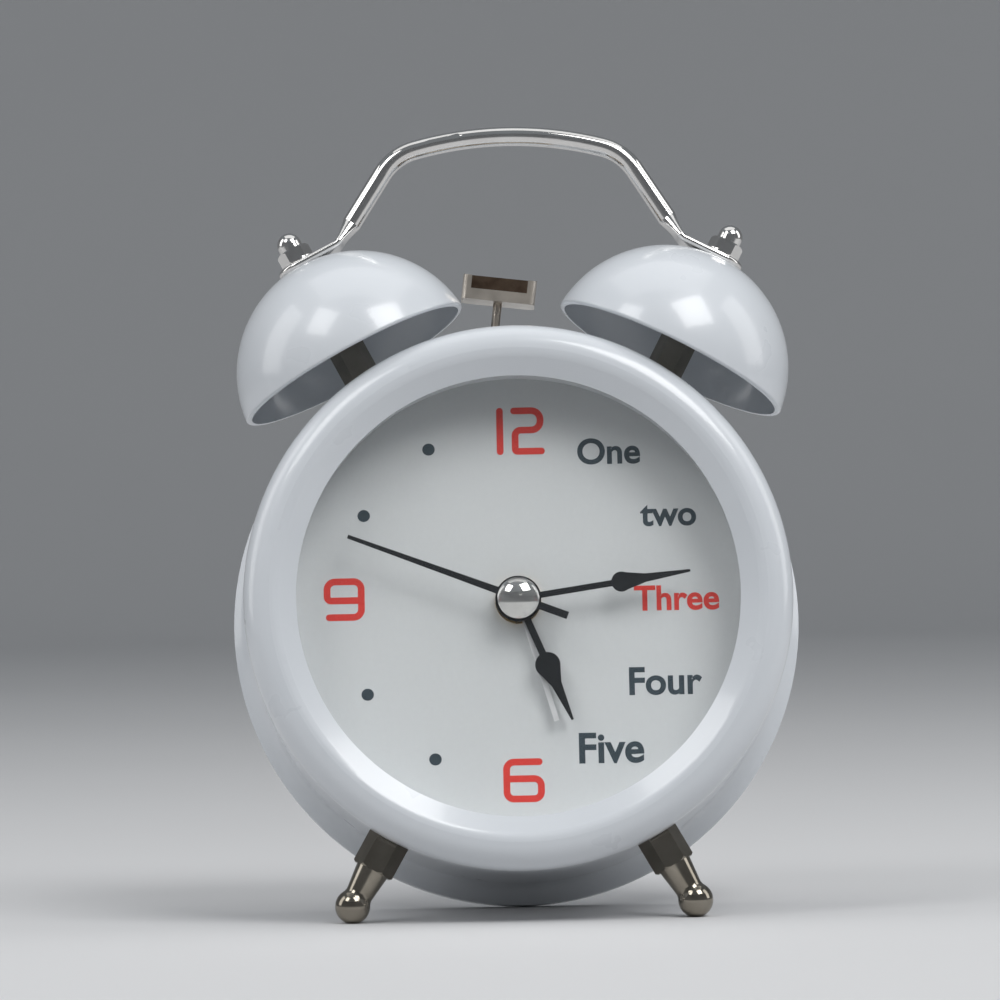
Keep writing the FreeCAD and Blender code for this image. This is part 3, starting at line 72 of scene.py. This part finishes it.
def add_camera():
    """Stands the camera at the viewpoint, and turns it until the dial's centre is at its pixel."""
    toward = Vector((
        sin(VIEW_AZIMUTH) * cos(VIEW_ELEVATION),
        -cos(VIEW_AZIMUTH) * cos(VIEW_ELEVATION),
        sin(VIEW_ELEVATION),
    ))
    level = Vector((cos(VIEW_AZIMUTH), sin(VIEW_AZIMUTH), 0))
    upright = level.cross(-toward)
    side = level * cos(VIEW_ROLL) + upright * sin(VIEW_ROLL)
    top = upright * cos(VIEW_ROLL) - level * sin(VIEW_ROLL)
    facing = Matrix((side, top, toward)).transposed()
    off_centre = (DIAL_PIXEL - Vector((FRAME_PIXELS, FRAME_PIXELS)) / 2) / FOCAL_PIXELS
    sight = Vector((off_centre.x, -off_centre.y, -1))
    aim = sight.rotation_difference(Vector((0, 0, -1))).to_matrix()
    camera = bpy.data.objects.new("camera", bpy.data.cameras.new("camera"))
    camera.data.sensor_width = SENSOR
    camera.data.lens = FOCAL_PIXELS / FRAME_PIXELS * SENSOR
    camera.data.clip_start = 0.05
    camera.data.clip_end = 50
    camera.matrix_world = Matrix.Translation(CENTRE + toward * VIEW_DISTANCE) @ (facing @ aim).to_4x4()
    bpy.context.scene.collection.objects.link(camera)
    bpy.context.scene.camera = camera


class Finish:
    """A node material whose details are given in millimetres of the object's own space."""

    def __init__(self, name):
        self.material = bpy.data.materials.new(name)
        self.material.use_nodes = True
        self.tree = self.material.node_tree
        self.shader = self.tree.nodes["Principled BSDF"]
        self.place = self.tree.nodes.new("ShaderNodeTexCoord").outputs["Object"]

    def node(self, kind, **settings):
        made = self.tree.nodes.new(kind)
        for key, value in settings.items():
            setattr(made, key, value)
        return made

    def join(self, source, target):
        self.tree.links.new(source, target)

    def noise(self, size, detail=3.0, stretch=(1, 1, 1)):
        """Soft random value from 0 to 1, in spots about size across, drawn out by stretch."""
        mapping = self.node("ShaderNodeMapping")
        mapping.inputs["Scale"].default_value = [1 / (size * MM * s) for s in stretch]
        texture = self.node("ShaderNodeTexNoise")
        texture.inputs["Scale"].default_value = 1
        texture.inputs["Detail"].default_value = detail
        self.join(self.place, mapping.inputs["Vector"])
        self.join(mapping.outputs["Vector"], texture.inputs["Vector"])
        return texture.outputs["Fac"]

    def spread(self, value, low, high, start=0.2, stop=0.8):
        """Maps the middle of a random value onto low to high."""
        made = self.node("ShaderNodeMapRange")
        for key, number in (("From Min", start), ("From Max", stop), ("To Min", low), ("To Max", high)):
            made.inputs[key].default_value = number
        self.join(value, made.inputs["Value"])
        return made.outputs["Result"]

    def tint(self, value, first, second):
        """Colour that goes from first to second as the random value rises."""
        made = self.node("ShaderNodeMix", data_type="RGBA")
        made.inputs["A"].default_value = (*first, 1)
        made.inputs["B"].default_value = (*second, 1)
        self.join(self.spread(value, 0, 1), made.inputs["Factor"])
        return made.outputs["Result"]

    def blend(self, share, first, second):
        """Mixes two colour outputs by a share from 0 to 1."""
        made = self.node("ShaderNodeMix", data_type="RGBA")
        self.join(share, made.inputs["Factor"])
        self.join(first, made.inputs["A"])
        self.join(second, made.inputs["B"])
        return made.outputs["Result"]

    def looking(self):
        """1 where the surface is seen, also mirrored or through glass, and 0 where it lights others."""
        path = self.node("ShaderNodeLightPath")
        total = path.outputs["Is Camera Ray"]
        for ray in ("Is Glossy Ray", "Is Transmission Ray"):
            made = self.node("ShaderNodeMath", operation="MAXIMUM")
            self.join(total, made.inputs[0])
            self.join(path.outputs[ray], made.inputs[1])
            total = made.outputs["Value"]
        return total

    def tones(self, value, first, second):
        """Gives the surface a colour that goes from first to second as the random value rises."""
        self.join(self.tint(value, first, second), self.shader.inputs["Base Color"])

    def gloss(self, value, low, high):
        self.join(self.spread(value, low, high), self.shader.inputs["Roughness"])

    def relief(self, *layers):
        """Stacks bump layers, each a height value and its depth in millimetres."""
        before = None
        for height, depth in layers:
            bump = self.node("ShaderNodeBump")
            bump.inputs["Distance"].default_value = depth * MM
            self.join(height, bump.inputs["Height"])
            if before is not None:
                self.join(before, bump.inputs["Normal"])
            before = bump.outputs["Normal"]
        self.join(before, self.shader.inputs["Normal"])

    def set(self, **values):
        for key, value in values.items():
            self.shader.inputs[key.replace("_", " ")].default_value = value


def painted(name, light, dark, peel=1.6, peel_depth=0.0008, gloss=(0.26, 0.32), coat=0.6, specular=0.5):
    """Stoved gloss enamel on pressed steel: a faint orange peel under a hard clear surface."""
    f = Finish(name)
    f.tones(f.noise(30, detail=2), dark, light)
    f.gloss(f.noise(12, detail=3), *gloss)
    f.relief((f.noise(peel, detail=1), peel_depth))
    f.set(Coat_Weight=coat, Coat_Roughness=0.10, Coat_IOR=1.5, Specular_IOR_Level=specular)
    return f.material


def plated(name, light, dark, gloss, grain=0.5, grain_depth=0.0006, stretch=(1, 1, 1)):
    """Plated or polished metal with smudges, and fine marks drawn out along stretch."""
    f = Finish(name)
    f.tones(f.noise(7, detail=4), dark, light)
    f.gloss(f.noise(4, detail=6), *gloss)
    f.relief((f.noise(grain, detail=4, stretch=stretch), grain_depth), (f.noise(6, detail=1), 0.004))
    f.set(Metallic=1.0)
    return f.material


def moulded(name, light, dark, gloss=(0.42, 0.55), grain=0.35, grain_depth=0.006):
    """Injection moulded plastic with a fine eroded grain."""
    f = Finish(name)
    f.tones(f.noise(12), dark, light)
    f.gloss(f.noise(5, detail=5), *gloss)
    f.relief((f.noise(grain, detail=2), grain_depth), (f.noise(18, detail=1), 0.02))
    return f.material


def printed(name, light, dark, gloss=(0.5, 0.6)):
    """Ink or coated paper: nearly even, with a fine fibre under it."""
    f = Finish(name)
    f.tones(f.noise(0.8, detail=6), dark, light)
    f.gloss(f.noise(3, detail=4), *gloss)
    f.relief((f.noise(0.25, detail=4), 0.0012))
    return f.material


def glass(name):
    """Clear mineral glass that lets the lamps through to the dial."""
    f = Finish(name)
    f.set(Transmission_Weight=1.0, IOR=1.5)
    f.shader.inputs["Base Color"].default_value = (0.985, 0.995, 0.99, 1)
    f.gloss(f.noise(15, detail=5), 0.0, 0.02)
    f.relief((f.noise(30, detail=1), 0.004))
    clear = f.node("ShaderNodeBsdfTransparent")
    path = f.node("ShaderNodeLightPath")
    mix = f.node("ShaderNodeMixShader")
    f.join(path.outputs["Is Shadow Ray"], mix.inputs["Fac"])
    f.join(f.shader.outputs["BSDF"], mix.inputs[1])
    f.join(clear.outputs["BSDF"], mix.inputs[2])
    f.join(mix.outputs["Shader"], f.tree.nodes["Material Output"].inputs["Surface"])
    return f.material


def winding(name, turn=0.32):
    """Fine enamelled wire in close turns round the coil's length."""
    f = Finish(name)
    wave = f.node("ShaderNodeTexWave", bands_direction="X")
    wave.inputs["Scale"].default_value = pi / (10 * turn * MM)
    f.join(f.place, wave.inputs["Vector"])
    f.tones(wave.outputs["Fac"], (0.30, 0.07, 0.03), (0.72, 0.26, 0.13))
    f.gloss(f.noise(2), 0.22, 0.35)
    f.relief((wave.outputs["Fac"], 0.08))
    f.set(Metallic=0.8)
    return f.material


WHITE_LIGHT, WHITE_DARK = (0.735, 0.765, 0.800), (0.705, 0.737, 0.775)
MATERIALS = {
    "case_paint": painted("case_enamel", WHITE_LIGHT, WHITE_DARK),
    "bell_paint": painted("bell_enamel", WHITE_LIGHT, WHITE_DARK, peel=1.3),
    "chrome": plated("chrome", (0.78, 0.77, 0.75), (0.68, 0.66, 0.64), (0.04, 0.10)),
    "dark_nickel": plated("dark_nickel", (0.36, 0.33, 0.28), (0.23, 0.205, 0.165), (0.08, 0.20)),
    "hammer_steel": plated("hammer_nickel", (0.60, 0.54, 0.47), (0.46, 0.40, 0.34), (0.22, 0.34)),
    "window_glass": glass("lens_glass"),
    "dial_print": printed("dial_paper", (0.575, 0.59, 0.60), (0.55, 0.565, 0.575), (0.35, 0.45)),
    "spacer_plastic": moulded("spacer_plastic", (0.74, 0.76, 0.78), (0.71, 0.73, 0.76), (0.3, 0.4)),
    "cover_plastic": moulded("cover_plastic", (0.70, 0.72, 0.74), (0.66, 0.68, 0.71)),
    "knob_plastic": moulded("knob_plastic", (0.035, 0.036, 0.038), (0.022, 0.023, 0.025)),
    "black_hand": painted(
        "hand_lacquer", (0.008, 0.010, 0.012), (0.004, 0.005, 0.007),
        peel=0.8, peel_depth=0.0005, gloss=(0.5, 0.6), coat=0.05, specular=0.2,
    ),
    "silver_hand": plated("alarm_hand_satin", (0.86, 0.86, 0.87), (0.78, 0.78, 0.79), (0.42, 0.55)),
    "screw_steel": plated("screw_zinc", (0.60, 0.60, 0.61), (0.45, 0.45, 0.47), (0.2, 0.36)),
    "movement_plastic": moulded("movement_plastic", (0.05, 0.05, 0.055), (0.035, 0.035, 0.04)),
    "gear_plastic": moulded("gear_acetal", (0.72, 0.71, 0.66), (0.66, 0.65, 0.60), (0.3, 0.4), 0.2, 0.002),
    "magnet": plated("ferrite", (0.07, 0.07, 0.075), (0.045, 0.045, 0.05), (0.4, 0.6)),
    "brass": plated("brass", (0.80, 0.58, 0.26), (0.62, 0.42, 0.17), (0.16, 0.32)),
    "stator_steel": plated("stator_steel", (0.46, 0.47, 0.49), (0.36, 0.36, 0.38), (0.3, 0.45)),
    "copper_winding": winding("copper_winding"),
    "board_green": moulded("board_green", (0.03, 0.16, 0.07), (0.02, 0.11, 0.05), (0.3, 0.4), 0.9, 0.01),
    "can_steel": plated("spring_steel", (0.68, 0.68, 0.69), (0.55, 0.55, 0.57), (0.14, 0.28)),
    "motor_can": plated(
        "motor_can", (0.58, 0.58, 0.60), (0.44, 0.44, 0.46), (0.2, 0.34), stretch=(8, 1, 1)
    ),
    "bracket_steel": plated("bracket_steel", (0.52, 0.53, 0.55), (0.40, 0.41, 0.43), (0.26, 0.42)),
}
RED_INK = printed("red_ink", (0.66, 0.030, 0.020), (0.58, 0.024, 0.015))
SLATE_INK = printed("slate_ink", (0.020, 0.040, 0.054), (0.014, 0.030, 0.043))


def hammer_tray():
    """The hammer's head: bright nickel outside, and painted shade on the inner face of its back wall: dark
    brown standing in for its shadow and dark reflection.
    """
    f = Finish("hammer_tray")
    low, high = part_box("hammer_head")
    middle = (low[1] + high[1]) / 2
    axes = f.node("ShaderNodeSeparateXYZ")
    f.join(f.place, axes.inputs["Vector"])
    # Where the shade is painted: 1 on the front-facing inner face of the back wall, 0 elsewhere.
    behind = f.spread(axes.outputs["Y"], 0, 1, middle - MM, middle + MM)
    facing = f.node("ShaderNodeSeparateXYZ")
    f.join(f.node("ShaderNodeTexCoord").outputs["Normal"], facing.inputs["Vector"])
    painted_shade_share = f.node("ShaderNodeMath", operation="MULTIPLY")
    f.join(behind, painted_shade_share.inputs[0])
    f.join(f.spread(facing.outputs["Y"], 1, 0, -0.8, -0.5), painted_shade_share.inputs[1])
    bright = f.tint(f.noise(5, detail=4), (0.50, 0.45, 0.39), (0.66, 0.60, 0.53))
    # Painted shade and reflection: a dark brown put on the back wall's inner face in place of its shadow.
    painted_shade_brown = f.tint(f.noise(2.5, detail=5), (0.085, 0.055, 0.038), (0.20, 0.145, 0.105))
    f.join(f.blend(painted_shade_share.outputs["Value"], bright, painted_shade_brown), f.shader.inputs["Base Color"])
    f.gloss(f.noise(3, detail=5), 0.30, 0.42)
    f.relief((f.noise(0.4, detail=4, stretch=(5, 1, 1)), 0.0008))
    f.set(Metallic=1.0)
    return f.material


def dress_frame():
    """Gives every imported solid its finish, by the material slot that the record names."""
    for node in frame["nodes"].values():
        for slot in node.material_slots:
            slot.material = MATERIALS[slot.material.name.split(".")[0]]
    frame["nodes"]["hammer_head"].material_slots[0].material = hammer_tray()


DIAL_FRONT = 5.0
INK_THICKNESS = 0.03
STROKE_WIDTH = 1.45
# Each later stroke of a numeral lies this share of the ink's thickness above the one before.
STROKE_RISE = 0.1
DOT_WIDTH = 2.6
DOT_RUN = 0.1
WORD_HEIGHT = 5.0
WORD_BOLDNESS = 0.12
ARC_STEPS = 8


def rounded(corners):
    """Points along straight runs between corners, each given as (x, z, radius of its rounding)."""
    points = []
    for i, (x, z, radius) in enumerate(corners):
        here = Vector((x, z))
        if radius == 0:
            points.append(here)
            continue
        to_last = (Vector(corners[i - 1][:2]) - here).normalized()
        to_next = (Vector(corners[i + 1][:2]) - here).normalized()
        half_angle = to_last.angle(to_next) / 2
        start = here + to_last * radius / tan(half_angle)
        stop = here + to_next * radius / tan(half_angle)
        hub = here + (to_last + to_next).normalized() * radius / sin(half_angle)
        sweep = (start - hub).angle_signed(stop - hub)
        for step in range(ARC_STEPS + 1):
            turn = Matrix.Rotation(-sweep * step / ARC_STEPS, 2)
            points.append(hub + turn @ (start - hub))
    return points


def ink(name, material, strokes):
    """Prints strokes on the dial: each is (points, width), a band with round ends."""
    bm = bmesh.new()
    for level, (points, width) in enumerate(strokes):
        front = DIAL_FRONT - INK_THICKNESS * (1 + STROKE_RISE * level)
        half = width / 2
        heads = [b - a for a, b in zip(points, points[1:])]
        bends = [a.normalized() + b.normalized() for a, b in zip(heads, heads[1:])]
        tangents = [heads[0], *bends, heads[-1]]
        sides = []
        for point, tangent in zip(points, tangents):
            across = Vector((-tangent.y, tangent.x)).normalized() * half
            sides.append((point + across, point - across))
        row = [(bm.verts.new((a.x, front, a.y)), bm.verts.new((b.x, front, b.y))) for a, b in sides]
        for (a, b), (c, d) in zip(row, row[1:]):
            bm.faces.new((a, b, d, c))
        for (a, b), tip, heading in ((row[0], points[0], -heads[0]), (row[-1], points[-1], heads[-1])):
            base = Vector((b.co.x, b.co.z)) - tip
            way = 1 if base.angle_signed(heading) < 0 else -1
            fan = [b]
            for step in range(1, ARC_STEPS):
                arm = Matrix.Rotation(way * pi * step / ARC_STEPS, 2) @ base
                fan.append(bm.verts.new((tip.x + arm.x, front, tip.y + arm.y)))
            bm.faces.new(fan + [a])
    bmesh.ops.recalc_face_normals(bm, faces=bm.faces)
    for face in bm.faces:
        if face.normal.y > 0:
            face.normal_flip()
    bm.transform(clock_frame())
    mesh = bpy.data.meshes.new(name)
    bm.to_mesh(mesh)
    bm.free()
    mesh.materials.append(material)
    piece = bpy.data.objects.new(name, mesh)
    bpy.context.scene.collection.objects.link(piece)
    thickness = piece.modifiers.new("thickness", "SOLIDIFY")
    thickness.thickness = INK_THICKNESS * MM
    thickness.offset = -1
    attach(piece, "root")
    return piece


def moved(corners, x, z):
    return [(cx + x, cz + z, radius) for cx, cz, radius in corners]


def print_digits():
    """The three large numerals, drawn as single strokes with rounded corners."""
    one = [(-4.35, -4.4, 0), (-4.35, 4.4, 0)]
    two = [
        (-1.3, 4.4, 0), (4.35, 4.4, 1.95), (4.35, 0.2, 1.95),
        (-1.1, 0.2, 1.2), (-1.1, -4.4, 0.5), (4.5, -4.4, 0),
    ]
    nine = [
        (-3.3, -3.85, 0), (3.6, -3.85, 1.7), (3.6, 3.85, 1.6), (-3.7, 3.85, 1.7),
        (-3.7, -0.25, 0.9), (0.0, -0.25, 0),
    ]
    nine_bar = [(0.0, -0.25, 0), (3.4, -0.25, 0)]
    six = [
        (3.3, 3.95, 0), (-3.67, 3.95, 1.6), (-3.67, -3.95, 1.5), (3.67, -3.95, 1.5),
        (3.67, 0.35, 1.5), (0.0, 0.35, 0),
    ]
    six_bar = [(0.0, 0.35, 0), (-3.5, 0.35, 0)]
    for name, glyphs, x, z in (
        ("print_12", (one, two), 1.18, 36.83),
        ("print_9", (nine, nine_bar), -37.11, 1.04),
        ("print_6", (six, six_bar), 0.47, -38.51),
    ):
        ink(name, RED_INK, [(rounded(moved(glyph, x, z)), STROKE_WIDTH) for glyph in glyphs])


def print_dots():
    """Round hour marks at the hours without numerals on the left."""
    for name, x, z in (
        ("dot_11", -18.55, 33.18),
        ("dot_10", -32.70, 19.04),
        ("dot_8", -32.49, -19.51),
        ("dot_7", -18.30, -33.66),
    ):
        ends = [Vector((x + way * DOT_RUN / 2, z)) for way in (-1, 1)]
        ink(name, SLATE_INK, [(ends, DOT_WIDTH)])


def print_word(text, x, z, width, material):
    """Sets a number word in bold type, centred on (x, z) and as wide as given."""
    curve = bpy.data.curves.new("word_" + text.lower(), "FONT")
    curve.body = text
    curve.align_x = "CENTER"
    curve.size = WORD_HEIGHT
    curve.offset = WORD_BOLDNESS
    curve.extrude = INK_THICKNESS / 2
    curve.materials.append(material)
    piece = bpy.data.objects.new("word_" + text.lower(), curve)
    bpy.context.scene.collection.objects.link(piece)
    bpy.context.view_layer.update()
    low, high = Vector(piece.bound_box[0]), Vector(piece.bound_box[6])
    stretch = width / (high.x - low.x)
    middle = (low + high) / 2 * stretch
    facing = Matrix(((1, 0, 0), (0, 0, -1), (0, 1, 0))).to_4x4()
    piece.matrix_world = (
        clock_frame(x, DIAL_FRONT - INK_THICKNESS / 2, z)
        @ facing
        @ Matrix.Translation((-middle.x, -middle.y, 0))
        @ Matrix.Diagonal((stretch, stretch, 1, 1))
    )
    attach(piece, "root")


def print_words():
    print_word("One", 20.09, 32.12, 13.5, SLATE_INK)
    print_word("two", 32.53, 17.98, 12.0, SLATE_INK)
    print_word("Three", 33.92, 0.10, 18.2, RED_INK)
    print_word("Four", 31.14, -17.74, 15.6, SLATE_INK)
    print_word("Five", 19.28, -31.91, 13.9, SLATE_INK)


FLOOR_RADIUS = 1.9
FLOOR_CENTRE = 0.5
SWEEP_RADIUS = 0.9
SWEEP_STEPS = 12
WALL_TOP = 2.0
ROUND_STEPS = 96
MERGE_DISTANCE = 1e-5


def add_stage():
    """A pale floor that curves up into a round wall, so that every view has the same plain background."""
    profile = [(0.0, 0.0), (FLOOR_CENTRE, 0.0), (FLOOR_RADIUS, 0.0)]
    for step in range(1, SWEEP_STEPS + 1):
        angle = pi / 2 * step / SWEEP_STEPS
        profile.append((FLOOR_RADIUS + SWEEP_RADIUS * sin(angle), SWEEP_RADIUS * (1 - cos(angle))))
    profile.append((FLOOR_RADIUS + SWEEP_RADIUS, WALL_TOP))
    bm = bmesh.new()
    verts = [bm.verts.new((r, 0, z)) for r, z in profile]
    edges = [bm.edges.new(pair) for pair in zip(verts, verts[1:])]
    bmesh.ops.spin(
        bm, geom=verts + edges, cent=(0, 0, 0), axis=(0, 0, 1),
        angle=2 * pi, steps=ROUND_STEPS, use_merge=True,
    )
    bmesh.ops.remove_doubles(bm, verts=bm.verts, dist=MERGE_DISTANCE)
    bmesh.ops.recalc_face_normals(bm, faces=bm.faces)
    mesh = bpy.data.meshes.new("stage")
    bm.to_mesh(mesh)
    bm.free()
    mesh.shade_smooth()
    floor = bpy.data.objects.new("stage", mesh)
    bpy.context.scene.collection.objects.link(floor)
    f = Finish("stage_paper")
    mottle = f.noise(300, detail=2)
    lighting = f.tint(mottle, (0.535, 0.535, 0.54), (0.555, 0.555, 0.56))
    seen = f.tint(mottle, (0.67, 0.67, 0.675), (0.69, 0.69, 0.695))
    f.join(f.blend(f.looking(), lighting, seen), f.shader.inputs["Base Color"])
    f.set(Roughness=0.8, Specular_IOR_Level=0.2)
    mesh.materials.append(f.material)


def add_lamp(name, place, size, power, colour=(1, 1, 1)):
    """A soft box that faces the clock."""
    lamp = bpy.data.lights.new(name, "AREA")
    lamp.shape = "RECTANGLE"
    lamp.size, lamp.size_y = size
    lamp.energy = power
    lamp.color = colour
    holder = bpy.data.objects.new(name, lamp)
    holder.location = place
    holder.rotation_mode = "QUATERNION"
    holder.rotation_quaternion = (CENTRE - Vector(place)).to_track_quat("-Z", "Y")
    bpy.context.scene.collection.objects.link(holder)


def add_light():
    add_lamp("key", (0.62, -0.78, 1.30), (0.75, 0.75), 11.5)
    add_lamp("fill", (-0.80, -0.74, 1.22), (0.55, 0.65), 4.8)
    add_lamp("top", (0.0, 0.15, 1.30), (1.3, 0.9), 3)
    add_lamp("left_side", (-1.0, 0.0, 0.55), (0.45, 0.9), 2.2)
    add_lamp("right_side", (1.0, 0.0, 0.55), (0.45, 0.9), 2.2)
    world = bpy.data.worlds.new("studio")
    world.use_nodes = True
    world.node_tree.nodes["Background"].inputs["Color"].default_value = (0.86, 0.93, 1.0, 1)
    world.node_tree.nodes["Background"].inputs["Strength"].default_value = 0.24
    bpy.context.scene.world = world


def main():
    bpy.context.scene.view_settings.view_transform = "Standard"
    add_camera()
    dress_frame()
    print_digits()
    print_dots()
    print_words()
    add_stage()
    add_light()


main()
